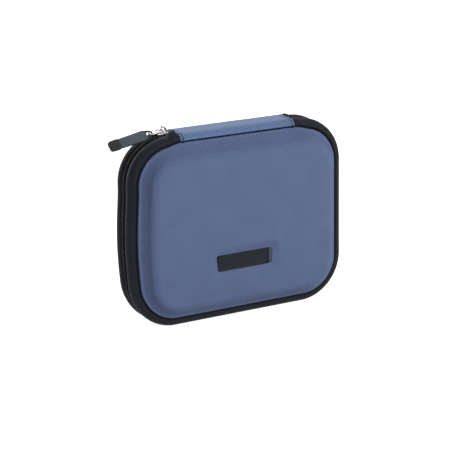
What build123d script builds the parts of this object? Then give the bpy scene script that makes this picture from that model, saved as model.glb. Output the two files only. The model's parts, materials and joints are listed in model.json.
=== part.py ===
from build123d import *
from math import cos, radians, sin
import os

# Clamshell case for a portable hard drive, standing on one long zipped side.
# X runs along the case, Y from the lid at the front to the base at the back, Z up.
# The origin is the middle of the base half's standing foot.

# Overall case
width = 145.0
height = 118.0
half_depth = 19.3
corner_radius = 28.5

# Zipper gusset of each half: the black band between the zipper and the shell
band_edge = 3.5
band_wall = 1.8
shoulder_radius = 4.6
web_thickness = 1.6
web_width = 6.6

# Moulded shell of each half
shell_rise = 8.7
seam_inset = 5.0
flange_width = 2.0
flange_thickness = 1.2
flange_round = 0.8
wall = 3.2
wall_draft = 20.0
face_round = 9.0
lining_thickness = 0.7

# Binding tape over the raw sewn edges inside
binding_width = 2.6
binding_height = 2.4
binding_round = 0.7

# Zipper tape and teeth
tape_gap = 0.25
tape_thickness = 0.5
tape_end_gap = 0.4
open_gap = 1.1
open_margin = 1.0
tooth_top = 0.4
cord_inner = 1.3
cord_outer = 2.2
tooth_pitch = 2.2
tooth_root = 0.7
tooth_tip = 1.1
tooth_overlap = 0.8
tooth_lift = 0.08

# Fabric hinge along the top
strip_slider_gap = 2.495
strip_overrun = 2.5
strip_thickness = 1.5
strip_tuck = 2.5
strip_lap = 0.7
hinge_gap = 0.1
hinge_lining_thickness = 0.7

# Slider
slider_turn = 2.0
slider_length = 8.0
slider_width = 6.2
slider_tail_width = 5.6
plate_thickness = 0.9
plate_gap = 0.05
plate_corner = 1.0
plate_neck = 1.0
plate_shoulder = 2.0
plate_round = 0.3
channel_clearance = 0.45
lip_clearance = 0.4
lip_drop = 1.35
post_length = 2.2
post_width = 1.5
post_setback = 0.9
crown_length = 5.0
crown_height = 3.9
crown_width = 2.0
crown_bar = 0.8
crown_round = 0.2

# Pull link and tab
wire = 0.9
link_near_along = 0.7
link_near_height = 2.65
link_far_along = 8.8
link_far_height = 1.35
link_width = 5.4
link_corner = 1.4
tab_slope = 8.0
tab_roll = 42.0
tab_length = 26.2
tab_width = 7.4
tab_tip_width = 6.2
tab_shoulder = 3.4
tab_plate = 1.2
tab_panel = 0.45
tab_border = 0.6
eye_radius = 1.7
eye_wall = 0.8
cap_length = 6.6
cap_thickness = 2.8
cap_round = 0.45
tongue_length = 3.0
tongue_width = 3.6
tongue_thickness = 1.0

# Label patch on the lid
label_width = 37.5
label_height = 9.8
label_thickness = 0.9
label_sink = 0.4
label_corner = 1.0
label_round = 0.3
label_x = -1.3
label_z = 38.0

# Inside fittings
strap_width = 24.0
strap_thickness = 0.8
strap_fold = 5.0
pocket_height = 80.0
mesh_thickness = 0.6
pocket_lap = 0.4
hem_height = 5.0
hem_thickness = 1.6
pocket_binding_width = 3.0

# Places worked out from the sizes above
seam_depth = half_depth - shell_rise
zip_y = -(band_edge + seam_depth - shoulder_radius) / 2
arc_x = width / 2 - corner_radius
arc_z = height - corner_radius
web_depth = seam_depth - web_thickness
tape_reach = web_depth - tape_end_gap
web_inset = band_wall + web_width
wall_inset = seam_inset + flange_width
slope_wall = wall / cos(radians(wall_draft))
slope_lining = lining_thickness / cos(radians(wall_draft))
tray_floor = half_depth - wall - lining_thickness
binding_depth = seam_depth - binding_height
tape_inset = band_wall
block_depth = 4 * half_depth

front = Plane(origin=(0, zip_y, height / 2), x_dir=(1, 0, 0), z_dir=(0, -1, 0))
rear = Plane(origin=(0, zip_y, height / 2), x_dir=(-1, 0, 0), z_dir=(0, 1, 0))

turn = radians(slider_turn)
slider_at = Vector(
    -(arc_x + corner_radius * sin(turn)), zip_y, arc_z + corner_radius * cos(turn)
)
slider_heading = (-cos(turn), 0, -sin(turn))
slider_plane = Plane(slider_at, x_dir=slider_heading, z_dir=(-sin(turn), 0, cos(turn)))
slider_side = Plane(slider_at, x_dir=slider_heading, z_dir=(0, 1, 0))

strip_left = slider_at.X + slider_length / 2 + strip_slider_gap
strip_right = arc_x + strip_overrun

link_far = slider_plane.from_local_coords((link_far_along, 0, link_far_height))
slope = radians(tab_slope)
roll = radians(tab_roll)
tab_plane = Plane(
    link_far,
    x_dir=(-cos(slope), 0, -sin(slope)),
    z_dir=(-sin(slope) * cos(roll), -sin(roll), cos(slope) * cos(roll)),
)

os.makedirs("parts", exist_ok=True)


def save(piece, name):
    piece.part.label = name
    export_step(piece.part, f"parts/{name}.step")


def slab(side, inset, near, far, draft=0.0, mode=Mode.ADD):
    """The case's rounded outline, drawn in by an inset, between two depths from the zipper."""
    with BuildSketch(side.offset(near)) as outline:
        RectangleRounded(width - 2 * inset, height - 2 * inset, corner_radius - inset)
    return extrude(outline.sketch, amount=far - near, taper=draft, mode=mode)


def outer_rim(piece, side):
    """The outline edges of a half's outermost face."""
    away = Axis(side.origin, side.z_dir)
    return piece.faces().sort_by(away)[-1].outer_wire().edges()


def hinge_window(left, right, mode):
    """A block over the top of the case between two X positions."""
    with BuildSketch(Plane.XY.offset(height / 2)) as block:
        with Locations(((left + right) / 2, zip_y)):
            Rectangle(right - left, block_depth)
    extrude(block.sketch, amount=height, mode=mode)


# Shells


def shell(side, name):
    with BuildPart() as cavity:
        slab(side, wall_inset + slope_wall, seam_depth, half_depth - wall, draft=wall_draft)
        fillet(outer_rim(cavity, side), face_round - wall)
    with BuildPart() as flange:
        slab(side, seam_inset, seam_depth, seam_depth + flange_thickness)
        fillet(outer_rim(flange, side), flange_round)
    with BuildPart() as body:
        slab(side, wall_inset, seam_depth, half_depth, draft=wall_draft)
        fillet(outer_rim(body, side), face_round)
        add(flange.part)
        add(cavity.part, mode=Mode.SUBTRACT)
        if side is front:
            label_block(half_depth - label_sink, half_depth + label_thickness, Mode.SUBTRACT)
    save(body, name)


def lining(side, name):
    inset = wall_inset + slope_wall
    with BuildPart() as room:
        slab(side, inset + slope_lining, seam_depth, tray_floor, draft=wall_draft)
        fillet(outer_rim(room, side), face_round - wall - lining_thickness)
    with BuildPart() as body:
        slab(side, inset, seam_depth, half_depth - wall, draft=wall_draft)
        fillet(outer_rim(body, side), face_round - wall)
        add(room.part, mode=Mode.SUBTRACT)
    save(body, name)


def label_block(near, far, mode):
    with BuildSketch(front.offset(near)) as patch:
        with Locations((label_x, label_z - height / 2)):
            RectangleRounded(label_width, label_height, label_corner)
    extrude(patch.sketch, amount=far - near, mode=mode)


def label_patch():
    with BuildPart() as body:
        label_block(half_depth - label_sink, half_depth - label_sink + label_thickness, Mode.ADD)
        fillet(outer_rim(body, front), label_round)
    save(body, "label_patch")


# Zipper gussets


def band(side, name):
    with BuildPart() as body:
        slab(side, 0, band_edge, seam_depth)
        fillet(outer_rim(body, side), shoulder_radius)
        slab(side, band_wall, band_edge, web_depth, mode=Mode.SUBTRACT)
        slab(side, web_inset, web_depth, seam_depth, mode=Mode.SUBTRACT)
        hinge_window(strip_left + strip_tuck, strip_right - strip_tuck, Mode.SUBTRACT)
    save(body, name)


def binding(side, name):
    with BuildPart() as body:
        slab(side, web_inset, binding_depth, seam_depth)
        slab(side, web_inset + binding_width, binding_depth, seam_depth, mode=Mode.SUBTRACT)
        toward = Axis(side.origin, side.z_dir)
        inner = body.faces().sort_by(toward)[0]
        fillet(inner.edges(), binding_round)
    save(body, name)


# Zipper tapes and teeth


def run_line(inset):
    """The zipper's run, from the hinge's left end down, along and up to the last corner."""
    x = width / 2 - inset
    z = height / 2 - inset
    r = corner_radius - inset
    with BuildLine() as run:
        top_left = Line((strip_left + strip_tuck, z), (-arc_x, z))
        corner_1 = JernArc(top_left @ 1, (-1, 0), r, 90)
        left = Line(corner_1 @ 1, (-x, -z + r))
        corner_2 = JernArc(left @ 1, (0, -1), r, 90)
        bottom = Line(corner_2 @ 1, (x - r, -z))
        corner_3 = JernArc(bottom @ 1, (1, 0), r, 90)
        right = Line(corner_3 @ 1, (x, z - r))
        JernArc(right @ 1, (0, 1), r, 90)
    return run.wire()


def tape(side, name):
    with BuildPart() as spread:
        slab(side, 0, 0, open_gap)
        hinge_window(slider_at.X - open_margin, strip_left + strip_tuck, Mode.INTERSECT)
    with BuildPart() as body:
        slab(side, tape_inset, tape_gap, tape_reach)
        slab(side, tape_inset + tape_thickness, tape_gap, tape_reach, mode=Mode.SUBTRACT)
        hinge_window(strip_left + strip_tuck, strip_right - strip_tuck, Mode.SUBTRACT)
        add(spread.part, mode=Mode.SUBTRACT)
    save(body, name)


def tooth_places(side, phase):
    """Where the teeth stand: clear of the slider's post, every pitch along the run."""
    run = run_line(tape_inset - tooth_lift)
    across = 1 if side is front else -1
    places = []
    for i in range(int(run.length / tooth_pitch) - 1):
        distance = (i + phase) * tooth_pitch
        spot = run.position_at(distance, PositionMode.LENGTH)
        heading = run.tangent_at(distance, PositionMode.LENGTH)
        parted = spot.Y > 0 and slider_at.X < spot.X < 0
        if not parted:
            origin = (spot.X, zip_y - across * cord_inner, spot.Y + height / 2)
            outward = (heading.Y, 0, -heading.X)
            places.append(Location(Plane(origin, x_dir=(0, across, 0), z_dir=outward)))
    return places


def teeth(side, name, phase):
    reach = cord_inner + tooth_overlap
    with BuildPart() as tooth:
        with BuildSketch():
            with BuildLine():
                Polyline(
                    (0, -tooth_root / 2),
                    (0, tooth_root / 2),
                    (reach, tooth_tip / 2),
                    (reach, -tooth_tip / 2),
                    close=True,
                )
            make_face()
        extrude(amount=tape_inset - tooth_lift - tooth_top)
    with BuildPart() as body:
        slab(side, tooth_top, cord_inner, cord_outer)
        slab(side, tape_inset, cord_inner, cord_outer, mode=Mode.SUBTRACT)
        hinge_window(strip_left + strip_tuck, strip_right - strip_tuck, Mode.SUBTRACT)
        with Locations(*tooth_places(side, phase)):
            add(tooth.part)
    save(body, name)


# Fabric hinge


def hinge_strip(side, name):
    with BuildPart() as gusset:
        slab(side, 0, 0, seam_depth)
        fillet(outer_rim(gusset, side), shoulder_radius)
        hinge_window(strip_left + strip_tuck, strip_right - strip_tuck, Mode.SUBTRACT)
    far = seam_depth + strip_lap
    with BuildPart() as body:
        slab(side, -strip_thickness, hinge_gap, far)
        fillet(outer_rim(body, side), shoulder_radius + strip_thickness)
        slab(side, seam_inset, seam_depth, far, mode=Mode.SUBTRACT)
        slab(side, web_inset, web_depth, seam_depth, mode=Mode.SUBTRACT)
        slab(side, band_wall, hinge_gap, web_depth, mode=Mode.SUBTRACT)
        add(gusset.part, mode=Mode.SUBTRACT)
        hinge_window(strip_left, strip_right, Mode.INTERSECT)
    save(body, name)


def hinge_lining(side, name):
    with BuildPart() as body:
        slab(side, band_wall, hinge_gap, tape_reach)
        slab(side, band_wall + hinge_lining_thickness, hinge_gap, tape_reach, mode=Mode.SUBTRACT)
        hinge_window(strip_left + strip_tuck, strip_right - strip_tuck, Mode.INTERSECT)
    save(body, name)


# Slider


def slider_plate(level):
    """A slider's plate: wide shoulders at its leading end, drawn in toward the tail."""
    tail = slider_length / 2
    with BuildSketch(slider_plane.offset(level)) as plan:
        with BuildLine():
            Polyline(
                (tail, slider_tail_width / 2),
                (-plate_neck, slider_tail_width / 2),
                (-plate_shoulder, slider_width / 2),
                (plate_corner - tail, slider_width / 2),
                (-tail, slider_width / 2 - plate_corner),
                (-tail, 0),
                (tail, 0),
                close=True,
            )
        make_face()
        mirror(about=Plane.XZ)
    extrude(plan.sketch, amount=plate_thickness)


def slider_body():
    plate_low = tape_inset + tape_thickness + channel_clearance
    post_at = post_setback + (post_length - slider_length) / 2
    rail_width = (slider_tail_width - 2 * (cord_outer + lip_clearance)) / 2
    with BuildPart() as body:
        slider_plate(-plate_low - plate_thickness)
        slider_plate(plate_gap)
        with BuildSketch(slider_plane.offset(-plate_low)):
            with Locations((post_at, 0)):
                SlotOverall(post_length, post_width)
        extrude(amount=plate_low + plate_gap)
        with BuildSketch(slider_plane.offset(plate_gap - lip_drop)):
            with Locations((slider_length / 4, 0)):
                with GridLocations(0, slider_tail_width - rail_width, 1, 2):
                    Rectangle(slider_length / 2, rail_width)
        extrude(amount=lip_drop)
        top = body.faces().sort_by(Axis(slider_at, slider_plane.z_dir))[-1]
        fillet(top.outer_wire().edges(), plate_round)
    save(body, "slider_body")


def slider_crown():
    seat = plate_gap + plate_thickness
    with BuildPart() as body:
        with BuildSketch(slider_side.offset(-crown_width / 2)):
            with Locations((0, seat)):
                Ellipse(crown_length / 2, crown_height)
                Ellipse(crown_length / 2 - crown_bar, crown_height - crown_bar, mode=Mode.SUBTRACT)
            with Locations((0, seat - crown_height / 2)):
                Rectangle(crown_length, crown_height, mode=Mode.SUBTRACT)
        extrude(amount=crown_width)
        sides = body.faces().filter_by(Plane.XZ)
        fillet(sides.edges().filter_by(GeomType.ELLIPSE), crown_round)
    save(body, "slider_crown")


# Pull link and tab


def pull_link():
    near = slider_plane.from_local_coords((link_near_along, 0, link_near_height))
    lie = (link_far - near).normalized()
    loop_length = (link_far - near).length
    loop_plane = Plane(origin=(near + link_far) * 0.5, x_dir=lie, z_dir=lie.cross(Vector(0, 1, 0)))
    with BuildSketch(loop_plane) as loop:
        RectangleRounded(loop_length, link_width, link_corner)
    with BuildPart() as body:
        path = loop.sketch.faces()[0].outer_wire()
        with BuildSketch(Plane(origin=path @ 0, z_dir=path % 0)) as section:
            Circle(wire / 2)
        sweep(section.sketch, path=path)
    save(body, "pull_link")


def tab_half(along):
    """Half the tab's width at a distance from its eye, past the shoulder."""
    share = (along - tab_shoulder) / (tab_length - tab_shoulder)
    return (tab_width + (tab_tip_width - tab_width) * share) / 2


def tongue(mode):
    end = tab_length - cap_length
    with BuildSketch(tab_plane.offset(-tongue_thickness / 2)) as plan:
        with Locations((end + tongue_length / 2, 0)):
            Rectangle(tongue_length, tongue_width)
    extrude(plan.sketch, amount=tongue_thickness, mode=mode)


def pull_tab():
    end = tab_length - cap_length
    eye_outer = eye_radius + eye_wall
    with BuildPart() as body:
        with BuildSketch(tab_plane.offset(-tab_plate / 2)):
            with BuildLine():
                Polyline(
                    (0, eye_outer),
                    (tab_shoulder, tab_half(tab_shoulder)),
                    (end, tab_half(end)),
                    (end, -tab_half(end)),
                    (tab_shoulder, -tab_half(tab_shoulder)),
                    (0, -eye_outer),
                    close=True,
                )
            make_face()
            Circle(eye_outer)
            Circle(eye_radius, mode=Mode.SUBTRACT)
        extrude(amount=tab_plate)
        with BuildSketch(tab_plane.offset(-tab_plate / 2 - tab_panel)):
            with BuildLine():
                Polyline(
                    (tab_shoulder, tab_half(tab_shoulder) - tab_border),
                    (end - tab_border, tab_half(end) - tab_border),
                    (end - tab_border, -tab_half(end) + tab_border),
                    (tab_shoulder, -tab_half(tab_shoulder) + tab_border),
                    close=True,
                )
            make_face()
        extrude(amount=tab_plate + 2 * tab_panel)
        tongue(Mode.ADD)
    save(body, "pull_tab")


def pull_tab_cap():
    start = tab_length - cap_length
    with BuildPart() as body:
        with BuildSketch(tab_plane.offset(-cap_thickness / 2)):
            with BuildLine():
                Polyline(
                    (start, tab_half(start)),
                    (tab_length, tab_half(tab_length)),
                    (tab_length, -tab_half(tab_length)),
                    (start, -tab_half(start)),
                    close=True,
                )
            make_face()
        extrude(amount=cap_thickness)
        tip = body.faces().sort_by(Axis(tab_plane.origin, tab_plane.x_dir))[-1]
        fillet(tip.edges().filter_by(Axis((0, 0, 0), tab_plane.z_dir)), cap_thickness / 2)
        away = Axis(tab_plane.origin, tab_plane.z_dir)
        faces = body.faces().filter_by(tab_plane).sort_by(away)
        fillet(faces[0].edges() + faces[-1].edges(), cap_round)
        tongue(Mode.SUBTRACT)
    save(body, "pull_tab_cap")


# Inside fittings


def drive_strap():
    length = height - 2 * (web_inset + pocket_lap)
    with BuildPart() as strap:
        with BuildSketch(rear.offset(binding_depth - strap_thickness)):
            Rectangle(strap_width, length)
        extrude(amount=strap_thickness)
    save(strap, "drive_strap")
    with BuildPart() as ends:
        with BuildSketch(rear.offset(binding_depth - 2 * strap_thickness)):
            with GridLocations(0, length - strap_fold, 1, 2):
                Rectangle(strap_width, strap_fold)
        extrude(amount=strap_thickness)
    save(ends, "strap_ends")


def below(level, mode):
    """A block over everything lower than a level."""
    with BuildSketch(Plane.XY) as block:
        with Locations((0, zip_y)):
            Rectangle(width, block_depth)
    extrude(block.sketch, amount=level, mode=mode)


def pocket():
    lap = web_inset + pocket_lap
    face = binding_depth - mesh_thickness
    with BuildPart() as net:
        slab(front, lap, face, binding_depth)
        below(pocket_height, Mode.INTERSECT)
    save(net, "mesh_pocket")
    with BuildPart() as hem:
        slab(front, lap, face - hem_thickness, face)
        below(pocket_height, Mode.INTERSECT)
        below(pocket_height - hem_height, Mode.SUBTRACT)
    save(hem, "pocket_elastic")
    with BuildPart() as edge:
        slab(front, lap, face - mesh_thickness, face)
        slab(front, lap + pocket_binding_width, face - mesh_thickness, face, mode=Mode.SUBTRACT)
        below(pocket_height - hem_height, Mode.INTERSECT)
    save(edge, "pocket_binding")


for side, half, phase in ((front, "front", 0.25), (rear, "rear", 0.75)):
    shell(side, f"{half}_shell")
    lining(side, f"{half}_lining")
    band(side, f"{half}_band")
    binding(side, f"{half}_binding")
    tape(side, f"{half}_zip_tape")
    teeth(side, f"{half}_zip_teeth", phase)
    hinge_strip(side, f"hinge_strip_{half}")
    hinge_lining(side, f"hinge_lining_{half}")
label_patch()
slider_body()
slider_crown()
pull_link()
pull_tab()
pull_tab_cap()
drive_strap()
pocket()
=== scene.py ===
import json
from math import ceil, cos, pi, radians, sin

import bmesh
import bpy
import numpy as np
from mathutils import Matrix, Vector, noise

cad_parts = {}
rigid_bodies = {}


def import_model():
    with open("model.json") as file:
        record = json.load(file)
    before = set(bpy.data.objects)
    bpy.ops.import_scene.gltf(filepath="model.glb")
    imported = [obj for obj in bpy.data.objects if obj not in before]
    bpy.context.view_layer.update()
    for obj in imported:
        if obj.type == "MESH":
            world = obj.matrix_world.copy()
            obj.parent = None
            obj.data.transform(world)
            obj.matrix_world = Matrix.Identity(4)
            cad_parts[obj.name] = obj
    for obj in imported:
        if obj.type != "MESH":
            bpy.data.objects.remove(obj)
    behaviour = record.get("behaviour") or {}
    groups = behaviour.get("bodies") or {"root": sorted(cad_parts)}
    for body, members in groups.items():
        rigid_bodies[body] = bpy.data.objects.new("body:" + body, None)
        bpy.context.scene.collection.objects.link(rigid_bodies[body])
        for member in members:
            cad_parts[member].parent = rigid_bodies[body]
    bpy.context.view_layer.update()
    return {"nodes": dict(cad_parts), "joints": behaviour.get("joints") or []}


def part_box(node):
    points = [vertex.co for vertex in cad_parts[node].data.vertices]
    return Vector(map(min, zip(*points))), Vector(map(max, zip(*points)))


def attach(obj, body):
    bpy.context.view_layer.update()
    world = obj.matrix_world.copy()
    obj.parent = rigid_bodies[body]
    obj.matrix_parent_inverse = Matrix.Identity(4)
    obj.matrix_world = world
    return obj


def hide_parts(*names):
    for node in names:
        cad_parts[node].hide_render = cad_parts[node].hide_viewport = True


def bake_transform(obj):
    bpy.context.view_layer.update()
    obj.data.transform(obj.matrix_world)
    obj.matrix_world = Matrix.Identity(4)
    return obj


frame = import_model()
MM = 0.001

# Sizes in millimetres. An inset is measured in from the case's outline, a depth from the zipper.
# Height z is measured from the case's middle in outlines and from the ground in finished points.

# The case and the middle of its zipper, as the solids have them
WIDTH, HEIGHT, CORNER, HALF_DEPTH = 145.0, 118.0, 28.5, 19.3
ZIP_Y = next(j for j in frame["joints"] if j["name"] == "lid_hinge")["pos_m"][1] / MM

# Band: depth of its near edge, rounding of its shoulder, depth of its seam, wall, and inner web
BAND_EDGE, SHOULDER, SEAM = 3.5, 4.6, 10.6
BAND_WALL, WEB, WEB_INSET = 1.8, 1.6, 8.4

# Shell: insets of its seam and of its wall's foot, the inner draft and rounding, and its layers
SEAM_INSET, WALL_FOOT, DRAFT = 5.0, 7.0, radians(20)
FACE_ROUND, SHELL_WALL, LINING = 9.0, 3.2, 0.7

# Its outer skin as photographed: a flatter and dished wall, and the face's first and last inset
BEVEL, BEVEL_ROUND, DISH = radians(38), 6.6, 0.35
FACE_FLAT, FACE_END = 16.47, 56.0

# Depth of the groove at the seam, how far it is drawn up beside the strip, and set lower there
GROOVE, RAISED, LOWERED = 1.1, 1.7, 0.8

# Hinge strip: its ends, the length tucked under, its rise over the band and height of its edge
STRIP_LEFT, STRIP_RIGHT, STRIP_TUCK, STRIP_RISE = -38.5, 39.0, 2.5, 0.8
STRIP_EDGE = HEIGHT - SEAM_INSET + 1.75
STITCH_AT = 1.8
# Columns of the strip's cloth that lie in the groove, and half the width that bends at the fold
TUCKED_IN, FOLD = 3, 2.0

# The zipper runs between the strip's tucked ends. The slider has parted it past SLIDER_X.
RUN_START, RUN_END = STRIP_LEFT + STRIP_TUCK, STRIP_RIGHT - STRIP_TUCK
TAPE_NEAR, TAPE_FAR, TAPE_THICK = 0.25, 8.6, 0.5
COIL_PITCH, COIL_INSET = 1.4, 1.12
SLIDER_X = -45.0

# Label, how far it sits below the face, and the length of its end painted paler as a highlight
LABEL = dict(x=-1.3, z=38.0 - HEIGHT / 2, w=37.5, h=9.8)
SUNK, LABEL_END = 0.45, 2.6

# The left side of the filled case bows outward: how far, at what height and over what reach
BOW, BOW_AT, BOW_REACH = 1.9, -8.0, 36.0

# Inside: the pocket, half the thickness of its net, hem and binding, and the strap's sewn fold
POCKET_TOP, POCKET_HEM, POCKET_INSET, POCKET_BINDING = 80.0, 5.0, WEB_INSET + 0.4, 3.0
NET_HALF, HEM_HALF, BINDING_HALF = 0.15, 0.45, 0.28
STRAP_FOLD = 5.0

HALVES = (("front", "lid", -1), ("rear", "base", 1))


# Curves round the case


def ring(inset, counts, start=0.0, end=0.0):
    """Points (x, z) and outward normals of the case's outline drawn in by an inset.

    They go from start on the top to the left and round to end, which is start on a whole ring.
    """
    w, h = WIDTH - 2 * inset, HEIGHT - 2 * inset
    r = max(CORNER - inset, 2.0)
    a, b = w / 2 - r, h / 2 - r
    n_top, n_corner, n_side, n_low = counts
    legs = [("line", (start, h / 2), (-a, h / 2), (0, 1), n_top[0])]
    legs += [("arc", (-a, b), 90, n_corner), ("line", (-w / 2, b), (-w / 2, -b), (-1, 0), n_side)]
    legs += [("arc", (-a, -b), 180, n_corner), ("line", (-a, -h / 2), (a, -h / 2), (0, -1), n_low)]
    legs += [("arc", (a, -b), 270, n_corner), ("line", (w / 2, -b), (w / 2, b), (1, 0), n_side)]
    legs += [("arc", (a, b), 0, n_corner), ("line", (a, h / 2), (end, h / 2), (0, 1), n_top[1])]
    points, normals = [], []
    for leg in legs:
        for i in range(leg[-1]):
            t = i / leg[-1]
            if leg[0] == "line":
                points.append([p + (q - p) * t for p, q in zip(leg[1], leg[2])])
                normals.append(leg[3])
            else:
                angle = radians(leg[2] + 90 * t)
                normals.append((cos(angle), sin(angle)))
                points.append((leg[1][0] + r * cos(angle), leg[1][1] + r * sin(angle)))
    return np.array(points), np.array(normals, float)


def counts_for(step, start=0.0, end=0.0):
    """How many points each side and corner of the case takes at a spacing, corners a bit closer."""
    a, b, closer = WIDTH / 2 - CORNER, HEIGHT / 2 - CORNER, 1.3
    top = (ceil((start + a) / step), ceil((a - end) / step))
    return top, ceil(CORNER * pi / 2 / step * closer), ceil(2 * b / step), ceil(2 * a / step)


def run_length(points):
    """The length along a line of points at each of them."""
    steps = np.linalg.norm(np.diff(points, axis=0), axis=1)
    return np.concatenate([[0.0], np.cumsum(steps)])


def between(at, along, values):
    """Rows of values, known at lengths along a line, at another length."""
    return np.array([np.interp(at, along, column) for column in values.T])


def arc(centre, radius, first, last, n):
    """Profile points on an arc, angles in degrees."""
    angles = np.radians(np.linspace(first, last, n))
    return [(centre[0] + radius * cos(a), centre[1] + radius * sin(a)) for a in angles]


def step_between(value, low, high):
    """A smooth step from 0 at low to 1 at high."""
    t = min(max((value - low) / (high - low), 0.0), 1.0)
    return t * t * (3 - 2 * t)


def ripple(p, scale, seed):
    """Smooth noise of a place, from -1 to 1."""
    return noise.noise(Vector((p[0] / scale, p[1] / scale, seed)))


# Meshes


def scene_object(name, data):
    made = bpy.data.objects.new(name, data)
    bpy.context.scene.collection.objects.link(made)
    return made


def bow(x, z):
    """How far a place on the left side stands outside the straight outline."""
    inner, full = 30.0, 64.0
    t = (z - HEIGHT / 2 - BOW_AT) / BOW_REACH
    if abs(t) > 1 or x > -inner:
        return 0.0
    return BOW * (1 - t * t) ** 1.5 * step_between(-x, inner, full)


def mesh_piece(name, verts, faces, material, body, cloth, replaces=()):
    """A mesh from points or rows of points in millimetres.

    It has the cloth coordinates that its weave follows, in millimetres too.
    """
    mesh = bpy.data.meshes.new(name)
    verts = np.vstack(verts)
    verts[:, 0] -= [bow(x, z) for x, y, z in verts]
    mesh.from_pydata([tuple(v) for v in verts * MM], [], faces)
    flat = np.zeros((len(verts), 3), np.float32)
    flat[:, :2] = np.vstack(cloth)
    layer = mesh.attributes.new("cloth", "FLOAT_VECTOR", "POINT")
    layer.data.foreach_set("vector", flat.ravel())
    mesh.validate()
    shape = bmesh.new()
    shape.from_mesh(mesh)
    bmesh.ops.recalc_face_normals(shape, faces=shape.faces)
    shape.to_mesh(mesh)
    shape.free()
    mesh.update()
    piece = scene_object(name, mesh)
    mesh.materials.append(material)
    mesh.shade_smooth()
    if body:
        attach(piece, body)
    if replaces:
        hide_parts(*replaces)
    return piece


def grid_faces(m, n, wrap_m, wrap_n, flip):
    """Faces of a grid of m rows by n columns."""
    faces = []
    for i in range(m if wrap_m else m - 1):
        for j in range(n if wrap_n else n - 1):
            i2, j2 = (i + 1) % m, (j + 1) % n
            quad = (i * n + j, i * n + j2, i2 * n + j2, i2 * n + j)
            faces.append(quad[::-1] if flip else quad)
    return faces


def tube_faces(m, n, flip=False):
    """Faces of a tube of m rings of n points, closed at both ends."""
    faces = grid_faces(m, n, False, True, False)
    faces += [list(range(n))[::-1], [(m - 1) * n + j for j in range(n)]]
    return [face[::-1] for face in faces] if flip else faces


def closed_sheet(name, lines, material, body, replaces, lining=None):
    """A thin closed cloth with walled edges, from lines of spots, lined with another or not.

    A spot is a point on each of the two faces, and the cloth coordinates there.
    """
    grids = [[[spot[k] for spot in line] for line in lines] for k in range(3)]
    top, under, cloth = (np.array(grid, float) for grid in grids)
    m, n = top.shape[:2]
    base = m * n
    faces = grid_faces(m, n, False, False, False)
    faces += [tuple(base + v for v in f[::-1]) for f in faces]
    rim = list(range(n)) + [i * n + n - 1 for i in range(1, m)]
    rim += [(m - 1) * n + j for j in range(n - 2, -1, -1)] + [i * n for i in range(m - 2, 0, -1)]
    faces += [(a, b, base + b, base + a) for a, b in zip(rim, rim[1:] + rim[:1])]
    verts = top.reshape(-1, 3), under.reshape(-1, 3)
    flat = cloth.reshape(-1, 2)
    piece = mesh_piece(name, verts, faces, material, body, (flat, flat), replaces)
    if lining:
        piece.data.materials.append(lining)
        for polygon in piece.data.polygons:
            polygon.material_index = int(min(polygon.vertices) >= base)
    return piece


def place(points, depth, side):
    """Outline points in the case's frame at a depth from the zipper."""
    depth = np.broadcast_to(depth, len(points))
    return np.stack([points[:, 0], ZIP_Y + side * depth, points[:, 1] + HEIGHT / 2], 1)


def swept(name, profile, side, body, material, replaces, open_run, step, shape=None):
    """A closed profile of (inset, depth) swept round the case, whole or along the zipper's run."""
    limits = (RUN_START, RUN_END) if open_run else (0.0, 0.0)
    base, normals = ring(0, counts_for(step, *limits), *limits)
    if open_run:
        base = np.vstack([base, [RUN_END, HEIGHT / 2]])
        normals = np.vstack([normals, [0, 1]])
    along = run_length(base)
    across = run_length(np.array(profile))
    rows, cloth = [], []
    for (inset, depth), v in zip(profile, across):
        depths = np.full(len(base), float(depth))
        insets = np.full(len(base), float(inset))
        if shape:
            insets, depths = shape(insets, depths, base, along, v)
        rows.append(place(base - normals * insets[:, None], depths, side))
        cloth.append(np.stack([along, np.full(len(base), v)], 1))
    m, n = len(rows), len(base)
    faces = grid_faces(m, n, True, not open_run, side > 0)
    if open_run:
        ends = [[i * n for i in range(m)], [i * n + n - 1 for i in range(m)]]
        faces += [ends[0] if side > 0 else ends[0][::-1], ends[1][::-1] if side > 0 else ends[1]]
    return mesh_piece(name, rows, faces, material, body, cloth, replaces)


# Materials


class Tree:
    """A node tree, with short ways to add the nodes that the looks share."""

    def __init__(self, tree):
        self.tree = tree

    def node(self, kind, **settings):
        made = self.tree.nodes.new(kind)
        for key, value in settings.items():
            setattr(made, key, value)
        return made

    def put(self, socket, value):
        if isinstance(value, bpy.types.NodeSocket):
            self.tree.links.new(value, socket)
        else:
            socket.default_value = value

    def math(self, operation, a, b=0.0, clamp=False):
        made = self.node("ShaderNodeMath", operation=operation, use_clamp=clamp)
        self.put(made.inputs[0], a)
        self.put(made.inputs[1], b)
        return made.outputs[0]

    def add(self, a, b):
        return self.math("ADD", a, b)

    def mul(self, a, b):
        return self.math("MULTIPLY", a, b)

    def mix(self, share, a, b):
        made = self.node("ShaderNodeMix", data_type="RGBA")
        self.put(made.inputs["Factor"], share)
        for socket, value in ((made.inputs[6], a), (made.inputs[7], b)):
            self.put(socket, (*value, 1.0) if isinstance(value, tuple) else value)
        return made.outputs[2]

    def remap(self, value, low, high, to_low=0.0, to_high=1.0):
        made = self.node("ShaderNodeMapRange")
        for socket, v in zip(made.inputs, (value, low, high, to_low, to_high)):
            self.put(socket, v)
        return made.outputs[0]

    def seen_directly(self):
        """1 for rays from the camera, straight, reflected or through glass, and 0 for the rest."""
        path = self.node("ShaderNodeLightPath")
        seen = path.outputs["Is Camera Ray"]
        for kind in ("Is Glossy Ray", "Is Transmission Ray"):
            seen = self.math("ADD", seen, path.outputs[kind], clamp=True)
        return seen


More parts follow.
